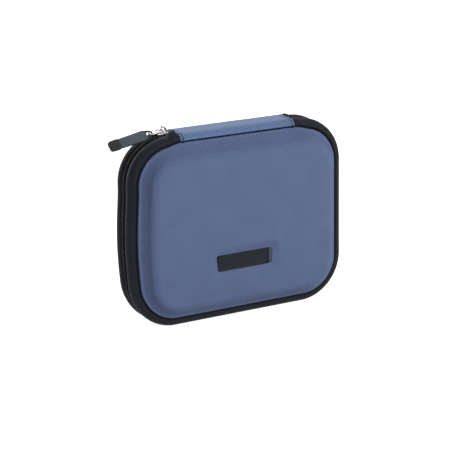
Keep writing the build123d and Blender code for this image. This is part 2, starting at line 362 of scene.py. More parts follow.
class Look(Tree):
    """A material's tree with its shader, and the textures that the cloths and coats share."""

    def __init__(self, name, rough, metal=0.0, sheen=0.0, specular=0.5):
        self.material = bpy.data.materials.new(name)
        self.material.use_nodes = True
        super().__init__(self.material.node_tree)
        self.shader = self.tree.nodes["Principled BSDF"]
        settings = {"Roughness": rough, "Metallic": metal, "Sheen Weight": sheen,
                    "Sheen Roughness": 0.45, "Specular IOR Level": specular}
        for socket, value in settings.items():
            self.shader.inputs[socket].default_value = value

    def noise(self, vector, scale, detail=2.0, rough=0.5):
        made = self.node("ShaderNodeTexNoise")
        self.put(made.inputs["Vector"], vector)
        made.inputs["Scale"].default_value = scale
        made.inputs["Detail"].default_value = detail
        made.inputs["Roughness"].default_value = rough
        return made.outputs["Fac"]

    def cloth(self):
        return self.node("ShaderNodeAttribute", attribute_name="cloth").outputs["Vector"]

    def objects(self):
        return self.node("ShaderNodeTexCoord").outputs["Object"]

    def finish(self, colour, height, distance, strength, rough=None):
        """Links the colour, the bump of a height and, where it varies, the roughness."""
        self.put(self.shader.inputs["Base Color"], colour)
        bump = self.node("ShaderNodeBump")
        bump.inputs["Strength"].default_value = strength
        bump.inputs["Distance"].default_value = distance
        self.put(bump.inputs["Height"], height)
        self.put(self.shader.inputs["Normal"], bump.outputs["Normal"])
        if rough is not None:
            self.put(self.shader.inputs["Roughness"], rough)
        return self.material


def srgb(r, g, b):
    """A display colour in linear values. This curve holds from 11 upward."""
    return tuple(((c / 255 + 0.055) / 1.055) ** 2.4 for c in (r, g, b))


def shade(colour, k):
    return tuple(c * k for c in colour)


def woven(name, colour, pitch, kind="basket", gap=0.45, check=0.1, depth=0.0001, sheen=0.1,
          wear=0.06, turn=0.0, specular=0.22):
    """Woven cloth: basket, twill, herringbone or ribbed, with yarns of a pitch in millimetres.

    Gap is how much painted shade darkens the cloth between the yarns, check how much painted sheen
    lightens the yarns that lie over and darkens the others, and wear how much the colour wanders
    over the cloth and from fibre to fibre.
    """
    m = Look(name, 0.65, sheen=sheen, specular=specular)
    at = m.cloth()
    turned = m.node("ShaderNodeMapping")
    m.put(turned.inputs["Vector"], at)
    turned.inputs["Rotation"].default_value = (0, 0, radians(turn))
    turned.inputs["Scale"].default_value = (1 / pitch, 1 / pitch, 1)
    wander = m.noise(at, 0.35, 1.0)
    split = m.node("ShaderNodeSeparateXYZ")
    m.put(split.inputs[0], turned.outputs[0])
    u = m.add(split.outputs[0], m.mul(wander, 0.35))
    v = m.add(split.outputs[1], m.mul(wander, 0.25))
    cell_u, cell_v = m.math("FLOOR", u), m.math("FLOOR", v)
    part_u, part_v = (m.math("SINE", m.mul(m.math("FRACT", w), pi)) for w in (u, v))

    def turns(value, share, limit):
        """1 past a limit of each round, where a share of a round goes by from yarn to yarn."""
        return m.math("GREATER_THAN", m.math("FRACT", m.mul(value, share)), limit)

    def dips(along, other):
        return m.mul(along, m.add(m.mul(other, 0.45), 0.55))

    if kind == "ribbed":
        height = part_v
        over = m.math("FRACT", m.mul(cell_v, 0.5))
    else:
        step = m.add(cell_u, cell_v)
        if kind == "herringbone":
            slope = m.remap(turns(cell_v, 0.125, 0.5), 0, 1, -1, 1)
            step = m.add(cell_u, m.mul(cell_v, slope))
        over = turns(step, 0.5, 0.25) if kind == "basket" else turns(step, 0.25, 0.45)
        warp, weft = dips(part_u, part_v), dips(part_v, part_u)
        height = m.add(m.mul(warp, over), m.mul(weft, m.math("SUBTRACT", 1.0, over)))
    open_share = m.remap(height, 0.15, 0.75)
    # Painted sheen: cells where the warp lies over are lighter and the others darker, by check.
    sheen_painted_tops = m.mix(over, shade(colour, 1 - check), shade(colour, 1 + check))
    # Painted shade: darker between the yarns, by gap.
    yarn = m.mix(open_share, shade(colour, 1 - gap), sheen_painted_tops)
    cloudy = m.remap(m.noise(at, 0.06, 3.0, 0.6), 0.3, 0.7, 1 - wear, 1 + wear)
    fibre = m.remap(m.noise(at, 1.4, 2.0), 0.3, 0.7, 1 - wear, 1 + wear)
    dimmed = m.node("ShaderNodeVectorMath", operation="SCALE")
    m.put(dimmed.inputs[0], yarn)
    m.put(dimmed.inputs["Scale"], m.mul(cloudy, fibre))
    return m.finish(dimmed.outputs[0], height, depth, 0.8)


def moulded(name, colour, rough, grain=900.0, vary=0.12, specular=0.3):
    """Moulded rubber or plastic: a fine matt grain with faint clouding."""
    m = Look(name, rough, specular=specular)
    at = m.objects()
    cloudy = m.noise(at, 90.0, 3.0)
    fine = m.noise(at, grain, 3.0, 0.6)
    tone = m.mix(m.remap(cloudy, 0.3, 0.7), shade(colour, 1 - vary), shade(colour, 1 + vary))
    uneven = m.remap(cloudy, 0.25, 0.75, rough - 0.06, rough + 0.08)
    return m.finish(tone, fine, 0.00004, 0.5, uneven)


def plated(name, colour, rough):
    """Bright plated metal with fine polish marks and a duller film in places."""
    m = Look(name, rough, metal=1.0)
    at = m.objects()
    film = m.noise(at, 260.0, 3.0)
    marks = m.noise(at, 2600.0, 2.0, 0.7)
    tone = m.mix(m.remap(film, 0.35, 0.7), colour, shade(colour, 0.78))
    return m.finish(tone, marks, 0.00001, 0.35, m.remap(film, 0.3, 0.7, rough, rough + 0.14))


def netting(name, colour):
    """Open knitted mesh: yarn round staggered holes."""
    m = Look(name, 0.7, sheen=0.2, specular=0.3)
    at = m.cloth()
    cell = m.node("ShaderNodeTexVoronoi", feature="F1", distance="EUCLIDEAN")
    m.put(cell.inputs["Vector"], at)
    cell.inputs["Scale"].default_value = 0.55
    cell.inputs["Randomness"].default_value = 0.15
    yarn = m.remap(cell.outputs["Distance"], 0.3, 0.42)
    tone = m.mix(m.noise(at, 2.0), shade(colour, 0.7), shade(colour, 1.4))
    m.put(m.shader.inputs["Alpha"], yarn)
    return m.finish(tone, yarn, 0.0002, 0.6)


shell_cloth = woven("shell_nylon", srgb(102, 118, 157), 0.52, "twill", gap=0.34, check=0.2,
                    sheen=0.03, wear=0.05, turn=90.0, specular=0.15)
strip_cloth = woven("strip_nylon", srgb(106, 131, 173), 0.98, check=0.5, wear=0.05)
band_cloth = woven("band_nylon", srgb(24, 28, 36), 0.5, gap=0.35, check=0.15, depth=0.00005,
                   sheen=0.0, specular=0.15)
tape_cloth = woven("zipper_tape", srgb(13, 14, 18), 0.7, "herringbone", gap=0.4, check=0.15,
                   sheen=0.0, specular=0.08)
coil_nylon = moulded("coil_nylon", srgb(12, 13, 16), 0.6, vary=0.2, specular=0.08)
grosgrain = woven("grosgrain", srgb(30, 32, 37), 0.9, "ribbed", gap=0.4)
tricot = woven("lining_tricot", srgb(52, 54, 60), 0.55, "twill", gap=0.25, check=0.08, sheen=0.4)
elastic = woven("elastic_webbing", srgb(34, 35, 40), 1.1, "ribbed", gap=0.5)
net_yarn = netting("pocket_net", srgb(36, 38, 43))
label_skin = moulded("label_rubber", srgb(22, 28, 35), 0.5, 1400.0, specular=0.15)
# Painted highlight: a paler rubber for the label's end and foot, where its curved edges catch
# light.
label_highlight = moulded("label_painted_highlight", srgb(62, 71, 84), 0.5, 1400.0)
tab_face = moulded("tab_rubber", srgb(70, 78, 87), 0.55)
# Painted shade: the tab's rim is a darker copy of its rubber, for the shade on its edges.
tab_rim_shade = moulded("tab_rim_painted_shade", srgb(28, 29, 33), 0.5)
cap_skin = moulded("cap_rubber", srgb(26, 25, 29), 0.45)
nickel = plated("bright_nickel", srgb(146, 145, 143), 0.16)
thread_blue = woven("thread_navy", srgb(30, 38, 64), 0.5, "ribbed", gap=0.3)
# Painted shade: a dark navy that stands in for the shade in the seam's groove on the hinge strip.
groove_shade_cloth = woven("groove_painted_shade", srgb(20, 26, 44), 0.5, "ribbed", gap=0.3, sheen=0.0, specular=0.1)


# Moulded shells


def label_near(x, z):
    """How far outside the label's outline a place on the face is."""
    dx = max(abs(x - LABEL["x"]) - LABEL["w"] / 2, 0.0)
    dz = max(abs(z - LABEL["z"]) - LABEL["h"] / 2, 0.0)
    return (dx * dx + dz * dz) ** 0.5


def face_lift(x, z, half):
    """The moulded face's crown, its faint unevenness, and the dip that the label sits in."""
    half_width, half_height, crowned, uneven = 57.0, 43.0, 0.35, 0.05
    crown = max(0.0, 1 - (x / half_width) ** 2) * max(0.0, 1 - (z / half_height) ** 2)
    lift = crowned * crown + uneven * ripple((x, z), 14.0, 3.0 if half == "front" else 8.0)
    if half == "rear":
        return lift
    out = label_near(x, z)
    above = step_between(z - LABEL["z"], -4.0, 5.0)
    right = step_between(x - LABEL["x"], 4.0, 18.0)
    dip = SUNK + 0.75 * above + 0.5 * right
    lift = lift * step_between(out, 0.5, 9.0) - dip * (1 - step_between(out, 0.2, 5.5))
    # Small puckers at the label's two ends, where its stitches pull the cloth
    pull = 1 - step_between(out, 0.0, 8.0)
    return lift + 0.16 * pull * sin(z * 2.3) * step_between(abs(x - LABEL["x"]), 17.5, 19.5)


def beside_strip(x, z):
    """Where the hinge strip draws the shell's edge up, from 0 to 1."""
    near_the_top = 20.0
    if z < HEIGHT / 2 - near_the_top:
        return 0.0
    away = max(STRIP_LEFT - x, x - STRIP_RIGHT)
    return 1 - step_between(away, -0.5, 10.0)


def shell_profile():
    """The shell's outer skin from the seam's groove to its face, and the points before the face."""
    foot = (7.2, SEAM + 0.95)
    bead = [(7.2, SEAM + 0.02), (6.3, SEAM - GROOVE), (6.05, SEAM - GROOVE), (5.92, SEAM - 0.4)]
    bead += [(5.9, SEAM + 0.1), (6.0, SEAM + 0.45), (6.3, SEAM + 0.7), (6.7, SEAM + 0.8)]
    centre = (FACE_FLAT, HALF_DEPTH - BEVEL_ROUND)
    corner = arc(centre, BEVEL_ROUND, 180 - np.degrees(BEVEL), 90, 12)
    wall = [(foot[0] + (corner[0][0] - foot[0]) * t + DISH * sin(pi * t),
             foot[1] + (corner[0][1] - foot[1]) * t) for t in np.linspace(0, 0.86, 7)]
    before = bead + wall + corner
    face = [(i, HALF_DEPTH) for i in np.arange(FACE_FLAT + 1.2, FACE_END, 1.1)]
    return before + face, len(before)


def two_skins(name, outer, inner, cloth, material, body, slot, replaces):
    """A shell between an outer and an inner run of rings, each closed in the middle."""
    n = len(outer[0])
    m, cut = len(outer) + len(inner), len(outer) - 1
    faces = grid_faces(m, n, True, True, False)
    faces = [f for f in faces if not (min(f) // n == cut and max(f) // n == cut + 1)]
    faces += [[row * n + j for j in range(n)] for row in (cut, cut + 1)]
    return mesh_piece(name, outer + inner, faces, material, body, cloth, replaces)


def shell_skin(half, body, side):
    """The shell's blue cover: a bead, a dished wall and a face outside, and a plain inside."""
    counts = counts_for(1.3)
    outer, before = shell_profile()
    inner = [(FACE_END, HALF_DEPTH - SHELL_WALL), (30.0, HALF_DEPTH - SHELL_WALL)]
    inner += arc((FACE_FLAT, HALF_DEPTH - FACE_ROUND), FACE_ROUND - SHELL_WALL, 90, 160, 7)
    inner += [(WALL_FOOT + SHELL_WALL / cos(DRAFT), SEAM + 0.05)]
    lengths = run_length(np.array(outer))
    edge, out = ring(FACE_FLAT, counts)
    rows, cloth = [], []
    for k, ((inset, depth), s) in enumerate(zip(outer, lengths)):
        points = ring(inset, counts)[0]
        near = np.array([beside_strip(x, z) for x, z in points])
        near *= 1 - step_between(depth, SEAM + 0.8, SEAM + 5.5)
        points[:, 1] += RAISED * near
        if k >= before:
            lifts = np.array([face_lift(x, z, half) for x, z in points])
            cloth.append(points)
        else:
            uneven = 0.05 * step_between(depth, SEAM + 2.0, HALF_DEPTH)
            lifts = np.array([uneven * ripple((x, z), 11.0, depth * 0.2) for x, z in points])
            cloth.append(edge + out * (lengths[before - 1] - s))
        lowered = LOWERED * near if depth > SEAM else 0.0
        rows.append(place(points, depth - lowered + lifts, side))
    inside = [place(ring(inset, counts)[0], depth, side) for inset, depth in inner]
    cloth += [ring(inset, counts)[0] for inset, depth in inner]
    piece = two_skins(f"{half}_shell_cover", rows, inside, cloth, shell_cloth, body, "shell_fabric",
                      [f"{half}_shell"])


def lining_skin(half, body, side):
    """The smooth lining, glued to the shell's inside and faintly uneven on its own."""
    counts = counts_for(2.2)
    wall = SHELL_WALL + 0.02
    skin = wall + LINING
    centre = (FACE_FLAT, HALF_DEPTH - FACE_ROUND)
    outer = [(WALL_FOOT + wall / cos(DRAFT), SEAM + 0.02)]
    outer += arc(centre, FACE_ROUND - wall, 160, 90, 7)
    outer += [(i, HALF_DEPTH - wall) for i in (30.0, 44.0, FACE_END)]
    inner = [(i, HALF_DEPTH - skin) for i in (FACE_END, 50.0, 44.0, 38.0, 32.0, 26.0, 21.0)]
    inner += arc(centre, FACE_ROUND - skin, 90, 160, 9)
    inner += [(WALL_FOOT + skin / cos(DRAFT), SEAM + 0.02)]
    skins, cloth = ([], []), []
    for rows, profile in zip(skins, (outer, inner)):
        for inset, depth in profile:
            points = ring(inset, counts)[0]
            lifts = 0.0
            if rows is skins[1] and depth > HALF_DEPTH - skin - 0.01:
                lifts = np.array([0.08 * ripple((x, z), 12.0, 5.0 + side) for x, z in points])
            rows.append(place(points, depth + lifts, side))
            cloth.append(points * (1 + 0.02 * (SEAM + 8 - depth)))
    two_skins(f"{half}_lining_skin", *skins, cloth, tricot, body, "lining_fabric",
              [f"{half}_lining"])


# Zipper gussets, tapes and bindings


def band_shape(seed, swell_left):
    """Soft unevenness of the band's cloth, its gathers in the corners and its swell by the strip.

    The place v runs over the profile, by the seam and the ends of the outer cloth and the groove.
    """
    seam_at, outer_end, groove_end, gather_pitch, swell_right = 9.5, 10.6, 13.5, 4.3, 1.25

    def swelling(x, z):
        """How much the band swells on the top where it comes out from under the strip, 0 to 1."""
        if z <= HEIGHT / 2 - 1.0:
            return 0.0
        inside = x - STRIP_LEFT if x < 0 else STRIP_RIGHT - x
        reach, full = (7.5, 3.8) if x < 0 else (5.0, 2.6)
        return step_between(inside, -reach, -full) * (1 - 0.8 * step_between(inside, -1.7, -0.2))

    def shape(insets, depths, base, along, v):
        for k, (x, z) in enumerate(base):
            under_strip = step_between(min(x - STRIP_LEFT, STRIP_RIGHT - x), -0.4, 0.5)
            drawn_up = RAISED * step_between(v, 3.5, seam_at) * (v < groove_end) * (1 - under_strip)
            insets[k] -= drawn_up * beside_strip(x, z)
            if v < outer_end:
                soft = 0.12 * ripple((along[k], v), 9.0, seed)
                in_corner = step_between(min(abs(x) - 36.0, abs(z) - 22.0), 0.0, 12.0)
                near_seam = step_between(v, 6.0, seam_at)
                gather = 0.09 * in_corner * near_seam * sin(along[k] * 2 * pi / gather_pitch)
                swell = swell_left if x < 0 else swell_right
                bulge = swell * swelling(x, z) * (1 - step_between(v, 3.0, seam_at))
                insets[k] += min(soft, 0.0) * 0.6 + gather * 0.5 - bulge
                depths[k] -= gather
        return insets, depths

    return shape


def band_profile():
    """The band from its hem by the zipper over the shoulder to the seam, and back on the inside."""
    hem = [(1.5, 0.05), (1.1, 0.0), (0.8, 0.25), (0.5, 0.8), (0.22, 1.5), (0.06, 2.1)]
    seam = [(4.2, -0.08), (4.6, -0.28), (4.85, -0.6), (4.9, -GROOVE - 0.02)]
    seam += [(6.3, -GROOVE - 0.02), (7.2, -0.02), (WEB_INSET, -0.02), (WEB_INSET, -WEB)]
    seam += [(BAND_WALL + 1.0, -WEB), (BAND_WALL, -WEB - 0.6)]
    profile = [(inset, BAND_EDGE + d) for inset, d in hem]
    profile += arc((SHOULDER, SEAM - SHOULDER), SHOULDER, 179, 104, 10)
    return profile + [(inset, SEAM + d) for inset, d in seam] + [(BAND_WALL, BAND_EDGE)]


def tape_profile():
    outer = [(BAND_WALL, depth) for depth in (TAPE_NEAR, 2.0, 3.4)] + [(BAND_WALL + 0.02, TAPE_FAR)]
    return outer + [(BAND_WALL + TAPE_THICK, depth) for depth in (TAPE_FAR, 2.0, TAPE_NEAR)]


def binding_profile():
    outer = [(WEB_INSET, SEAM - 0.02), (WEB_INSET, 8.7), (8.7, 8.25), (9.4, 8.2), (10.4, 8.2)]
    return outer + [(10.85, 8.4), (11.0, 8.9), (11.0, 10.2), (10.8, SEAM - 0.02)]


def tape_shape(insets, depths, base, along, v):
    """The tape's inner edge, spread where the slider has parted the chain."""
    for k, (x, z) in enumerate(base):
        if z > HEIGHT / 2 - 0.1 and x < 0 and depths[k] < 1.5:
            depths[k] += 0.9 * step_between(x, SLIDER_X - 1.0, SLIDER_X + 3.0)
    return insets, depths


def coil(half, body, side, phase):
    """One side of the zipper's coil: a rounded loop at each pitch, its head past the middle.

    A section is the depth, half width and half height of a loop on its way to the head.
    """
    points, normals = ring(COIL_INSET, counts_for(0.4, RUN_START, RUN_END), RUN_START, RUN_END)
    along = run_length(points)
    number = int(along[-1] / COIL_PITCH) - 1
    sections = [(2.3, 0.30, 0.34), (2.15, 0.44, 0.50), (1.4, 0.30, 0.58), (0.5, 0.30, 0.58)]
    sections += [(-0.15, 0.36, 0.58), (-0.55, 0.38, 0.52), (-0.78, 0.24, 0.32)]
    sides, first_at, parted = 8, 0.6, 1.25
    loop = tube_faces(len(sections), sides, side < 0)
    verts, faces, cloth = [], [], []
    for i in range(number):
        at = (i + first_at + phase) * COIL_PITCH
        x, z = between(at, along, points)
        nx, nz = between(at, along, normals)
        size = (nx * nx + nz * nz) ** 0.5
        nx, nz = nx / size, nz / size
        tx, tz = -nz, nx
        spread = 0.0
        if z > HEIGHT / 2 - 2.0 and x < 0:
            spread = parted * step_between(x, SLIDER_X - 2.0, SLIDER_X + 3.0)
        faces += [[len(verts) + v for v in face] for face in loop]
        for depth, wide, tall in sections:
            for q in range(sides):
                a = 2 * pi * q / sides
                along_run, up = wide * cos(a), tall * sin(a)
                verts.append((x + tx * along_run + nx * up, ZIP_Y + side * (depth + spread),
                              z + tz * along_run + nz * up + HEIGHT / 2))
                cloth.append((at + along_run, depth))
    mesh_piece(f"{half}_coil", verts, faces, coil_nylon, body, cloth,
               [f"{half}_zip_teeth"])


for half, body, side in HALVES:
    shell_skin(half, body, side)
    lining_skin(half, body, side)
    swell_left, phase = (2.9, 0.0) if half == "front" else (0.1, 0.5)
    band = swept(f"{half}_band_cloth", band_profile(), side, body, band_cloth,
                 [f"{half}_band"], True, 1.6, band_shape(2.0 + side, swell_left))
    swept(f"{half}_tape_cloth", tape_profile(), side, body, tape_cloth,
          [f"{half}_zip_tape"], True, 1.6, tape_shape)
    swept(f"{half}_binding_tape", binding_profile(), side, body, grosgrain,
          [f"{half}_binding"], False, 2.0)
    coil(half, body, side, phase)


# Fabric hinge: one padded strip of cloth over the top, from half to half


def strip_levels():
    """Where the strip's columns stand along X, each with its share of the full thickness."""
    hem = [(0.0, 0.05), (0.1, 0.5), (0.3, 0.85), (0.55, 1.02), (0.9, 1.1), (1.3, 0.95)]
    hem += [(STITCH_AT - 0.2, 0.35), (STITCH_AT + 0.2, 0.35), (2.4, 0.85), (3.0, 1.0)]
    middle = np.arange(STRIP_LEFT + 5.2, STRIP_RIGHT - 5.0, 1.6)
    left = [(STRIP_LEFT + d, h) for d, h in hem]
    right = [(STRIP_RIGHT - d, h) for d, h in reversed(hem)]
    return left + [(x, 1.0) for x in middle] + right


def strip_line(rise, web):
    """The strip's line from the front seam over the top to the rear, at a rise over the band."""
    r = SHOULDER + rise
    low = np.degrees(np.arcsin((STRIP_EDGE + 0.2 - HEIGHT + SHOULDER) / r))
    points = [(web, HEIGHT - WEB_INSET + 0.2), (web, STRIP_EDGE - 1.0)]
    points += [(web + 0.1, STRIP_EDGE - 0.15)]
    points += [(SEAM - 0.7 + min(rise, 0.75), STRIP_EDGE + 0.1 * (rise < 0.3))]
    points += arc((SEAM - SHOULDER, HEIGHT - SHOULDER), r, low, 90, 11)
    points += [(d, HEIGHT + rise) for d in (4.4, 3.2, 2.2, 1.6, 1.2, 0.9, 0.6, 0.3)]
    front = [(-d, z) for d, z in points]
    rear = [(d, z) for d, z in reversed(points)]
    return front + [(0.0, HEIGHT + rise)] + rear


def hinge_cover():
    """The padded strip: blue outside, black inside, and painted navy as shade where it dips into
    the seam.
    """
    levels = strip_levels()
    top, under = strip_line(STRIP_RISE, SEAM - GROOVE + 0.05), strip_line(0.02, SEAM - WEB + 0.02)
    run = run_length(np.array(top))
    lines = []
    for x, share in levels:
        from_end = min(x - STRIP_LEFT, STRIP_RIGHT - x)
        tucked = step_between(from_end, STRIP_TUCK, STRIP_TUCK + 0.4)
        line = []
        for k, (y, z) in enumerate(under):
            mix = share
            seam = min(run[k] - run[TUCKED_IN], run[-1 - TUCKED_IN] - run[k])
            if seam >= 0:
                mix *= 0.3 + 0.7 * step_between(seam, 0.0, 2.6)
            mix *= 1 + 0.12 * ripple((x, run[k]), 7.0, 4.0) * step_between(from_end, 2.5, 6.0)
            if abs(top[k][0]) < 4.0:
                mix = min(mix, 1.1)
            outside = (x, ZIP_Y + y + (top[k][0] - y) * mix, z + (top[k][1] - z) * mix)
            drop = BAND_WALL * tucked * (1.0 if abs(y) < SEAM - WEB else 0.0)
            line.append((outside, (x, ZIP_Y + y, z - drop), (x, run[k])))
        lines.append(line)
    piece = closed_sheet("hinge_cover", lines, strip_cloth, None,
                         ["hinge_strip_front", "hinge_strip_rear"], band_cloth)
    # Painted shade: the strip's cloth in the seam's groove gets a dark navy for the groove's shade.
    piece.data.materials.append(groove_shade_cloth)
    for polygon in piece.data.polygons:
        columns = [v % len(top) for v in polygon.vertices]
        tucked = max(columns) <= TUCKED_IN + 1 or min(columns) >= len(top) - 2 - TUCKED_IN
        if tucked and polygon.material_index == 0:
            polygon.material_index = 2
    return piece


def stitch_row(points, lifts, verts, faces):
    """Adds short rounded threads along a line of points, each with its outward direction."""
    length, gap, radius, sides = 2.0, 0.5, 0.24, 6
    sections = ((0.0, 0.35), (0.12, 0.9), (0.5, 1.0), (0.88, 0.9), (1.0, 0.35))
    points, lifts = np.array(points, float), np.array(lifts, float)
    along = run_length(points)
    for i in range(int(along[-1] / (length + gap))):
        start = gap / 2 + i * (length + gap)
        first = len(verts)
        for share, size in sections:
            at = start + share * length
            p, q = between(at, along, points), between(at + 0.05, along, points)
            t = (q - p) / np.linalg.norm(q - p)
            o = between(at, along, lifts)
            o = o - t * (o @ t)
            o /= np.linalg.norm(o)
            w = np.cross(t, o)
            lift = radius * (0.55 if 0.05 < share < 0.95 else -0.2)
            for a in range(sides):
                c, s = cos(a * 2 * pi / sides), sin(a * 2 * pi / sides)
                verts.append(p + o * (lift + radius * size * s) + w * radius * size * c * 1.2)
        tube = grid_faces(len(sections), sides, False, True, False)
        faces += [tuple(first + v for v in face) for face in tube]
        faces.append([first + a for a in range(sides)])
        faces.append([len(verts) - 1 - a for a in range(sides)])


def hinge_stitching():
    """A row of stitches over the strip at each end."""
    verts, faces = [], []
    pairs = np.array(strip_line(STRIP_RISE * 0.5, SEAM - GROOVE))
    tangents = np.gradient(pairs, axis=0)
    inside = slice(TUCKED_IN + 1, -TUCKED_IN - 1)
    lifts = [(0, -t[1], t[0]) for t in tangents[inside]]
    for x in (STRIP_LEFT + STITCH_AT, STRIP_RIGHT - STITCH_AT):
        stitch_row([(x, ZIP_Y + y, z) for y, z in pairs[inside]], lifts, verts, faces)
    cloth = [(p[0], p[1]) for p in verts]
    return mesh_piece("hinge_stitching", verts, faces, thread_blue, None, cloth)


def hinge_inside():
    """The lining of the hinge, one piece of cloth from half to half."""
    levels = np.linspace(RUN_START, RUN_END, 50)
    spots = [-TAPE_FAR, -7.0, -5.5, -4.2, -3.2, -2.2, -1.6, -1.2, -0.9, -0.6, -0.3]
    spots += [0.0] + [-y for y in reversed(spots)]
    high, low = (HEIGHT - BAND_WALL - drop for drop in (0.02, 0.7))
    lines = [[((x, ZIP_Y + y, high), (x, ZIP_Y + y, low), (x, y)) for y in spots] for x in levels]
    return closed_sheet("hinge_inside", lines, tricot, None,
                        ["hinge_lining_front", "hinge_lining_rear"])


cover = hinge_cover()
for piece in (cover, hinge_stitching(), hinge_inside()):
    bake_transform(piece)


# Plates with rounded corners and edges: label, pull tab and its cap


def corner_at(corners, i):
    """A polygon's corner, the directions to its two neighbours and half the angle between them."""
    before, here, after = (np.array(corners[(i + k) % len(corners)], float) for k in (-1, 0, 1))
    a, b = before - here, after - here
    a, b = a / np.linalg.norm(a), b / np.linalg.norm(b)
    return here, a, b, np.arccos(np.clip(a @ b, -1, 1)) / 2


def polygon_outline(corners, rounds, per_corner=7, per_side=10):
    """Points and outward normals round a polygon with rounded corners, anticlockwise."""
    points, normals = [], []
    count = len(corners)
    for i in range(count):
        here, a, b, half = corner_at(corners, i)
        centre = here + (a + b) / np.linalg.norm(a + b) * rounds[i] / sin(half)
        n_a, n_b = np.array((a[1], -a[0])), np.array((b[1], -b[0]))
        n_a, n_b = (v if v @ (here - centre) > 0 else -v for v in (n_a, n_b))
        for k in range(per_corner):
            n = n_a + (n_b - n_a) * k / (per_corner - 1)
            n /= np.linalg.norm(n)
            points.append(centre + n * rounds[i])
            normals.append(n)
        following, back_here, _, half_next = corner_at(corners, i + 1)
        stop = following + back_here * rounds[(i + 1) % count] / np.tan(half_next)
        begin = points[-1]
        for k in range(1, per_side):
            points.append(begin + (stop - begin) * k / per_side)
            normals.append(n_b)
    return np.array(points), np.array(normals)


def plate(name, corners, rounds, profile, to_frame, material, body, replaces=()):
    """A plate from rings of (inset, height), closed at both ends by its last rings."""
    base, normals = polygon_outline(corners, rounds)
    rows, cloth = [], []
    for inset, height in profile:
        flat = base - normals * inset
        rows.append(np.array([to_frame(x, y, height) for x, y in flat]))
        cloth.append(flat)
    faces = tube_faces(len(rows), len(base))
    return mesh_piece(name, rows, faces, material, body, cloth, replaces)


def box_corners(left, right, low, high):
    return [(left, low), (right, low), (right, high), (left, high)]


def label():
    """The bare label: a dark plate with a raised rim, and a paler end and a thin welt at its foot
    painted as highlights.
    """
    w, h, highlight_start = LABEL["w"] / 2, LABEL["h"] / 2, LABEL["w"] / 2 - LABEL_END

    def to_frame(x, y, height):
        return (LABEL["x"] + x, ZIP_Y - (HALF_DEPTH + height - SUNK), LABEL["z"] + HEIGHT / 2 + y)

    rim = [(0.3, -0.75), (0.0, -0.7), (0.0, 0.1), (0.06, 0.28), (0.2, 0.42), (0.4, 0.46)]
    rim += [(0.65, 0.4), (0.8, 0.2), (0.95, 0.08), (1.1, 0.06)]
    # The end's paler rubber is a painted highlight on the label's curved-up end.
    for name, left, right, rounds, skin in (
            ("label_plate", -w, highlight_start, [1.2, 0.4, 0.4, 1.2], label_skin),
            ("label_end", highlight_start + 0.12, w, [0.4, 1.2, 1.2, 0.4], label_highlight)):
        plate(name, box_corners(left, right, -h, h), rounds, rim, to_frame, skin, "lid",
              ["label_patch"])
    # The welt's paler rubber is a painted highlight along the label's lower edge.
    welt = [(0.1, -0.7), (0.0, -0.6), (0.0, 0.1), (0.1, 0.2)]
    plate("label_welt", box_corners(0.6 - w, w - 7.0, -h - 0.3, -h + 0.1), [0.12] * 4, welt,
          to_frame, label_highlight, "lid")


def tab_frame():
    """From the tab's own length, width and height to the case's frame, sloped and rolled."""
    joint = next(j for j in frame["joints"] if j["name"] == "tab_swing")
    slope, roll = radians(10.5), radians(42.0)
    origin = Vector(joint["pos_m"]) / MM
    x_dir = Vector((-cos(slope), 0, -sin(slope)))
    z_dir = Vector((-sin(slope) * cos(roll), -sin(roll), cos(slope) * cos(roll)))
    y_dir = z_dir.cross(x_dir)

    def to_frame(x, y, height):
        return tuple(origin + x_dir * x + y_dir * y + z_dir * height)

    return to_frame


def mirrored(points):
    """An outline from its lower half: the same points again, turned over and in reverse."""
    return points + [(x, -y) for x, y in reversed(points)]


def pull_tab():
    """The rubber tab: a rim with an eye painted darker as shade on its edges, a raised panel on
    both faces and a thick cap.
    """
    to_frame = tab_frame()
    half, eye, end, tip, level = 0.6, 1.7, 19.7, 26.2, 0.42
    outline = mirrored([(-1.9, -1.5), (-0.4, -2.45), (3.4, -3.7), (end, -3.3)])
    base, normals = polygon_outline(outline, [0.5, 0.8, 0.9, 0.5, 0.5, 0.9, 0.8, 0.5], 5, 8)
    rows, bevel = [], 0.25
    hole = ((eye + 0.3, half), (eye, half - bevel), (eye, bevel - half), (eye + 0.3, -half))
    for radius, height in hole:
        spokes = base / np.linalg.norm(base, axis=1)[:, None] * radius
        rows.append(np.array([to_frame(x, y, height) for x, y in spokes]))
    for inset, height in ((0.4, -half), (0.12, 0.12 - half), (0, 0.4 - half), (0, half - 0.4),
                          (0.12, half - 0.12), (0.4, half)):
        rows.append(np.array([to_frame(x, y, height) for x, y in base - normals * inset]))
    faces = grid_faces(len(rows), len(base), True, True, False)
    # The rim and eye take the darker rubber as painted shade on the tab's edges.
    mesh_piece("tab_rim", rows, faces, tab_rim_shade, "tab", [base] * len(rows),
               ["pull_tab"])
    panel = mirrored([(1.9, -2.1), (3.5, -3.42), (end - 0.3, -3.06)])
    top = half + level
    rings = [(0.0, half - 0.1), (0.0, top - 0.2), (0.1, top - 0.06), (0.3, top)]
    for name, sign in (("tab_panel_top", 1), ("tab_panel_under", -1)):
        plate(name, panel, [0.5] * 6, [(i, sign * h) for i, h in rings], to_frame, tab_face, "tab")
    block = mirrored([(end - 0.3, -3.45), (tip, -3.2)])
    rings = [(0.85, -1.4), (0.4, -1.33), (0.1, -1.1), (0.0, -0.7)]
    rings += [(inset, -height) for inset, height in reversed(rings)]
    plate("tab_cap", block, [0.9, 1.7, 1.7, 0.9], rings, to_frame, cap_skin, "tab",
          ["pull_tab_cap"])


label()
pull_tab()

# Finish of the metal parts, which stay as the solids are

for name in ("slider_body", "slider_crown", "pull_link"):
    node = frame["nodes"][name]
    node.data.materials.clear()
    node.data.materials.append(nickel)


# Fittings inside: the drive's elastic strap in the base, the cable's mesh pocket in the lid


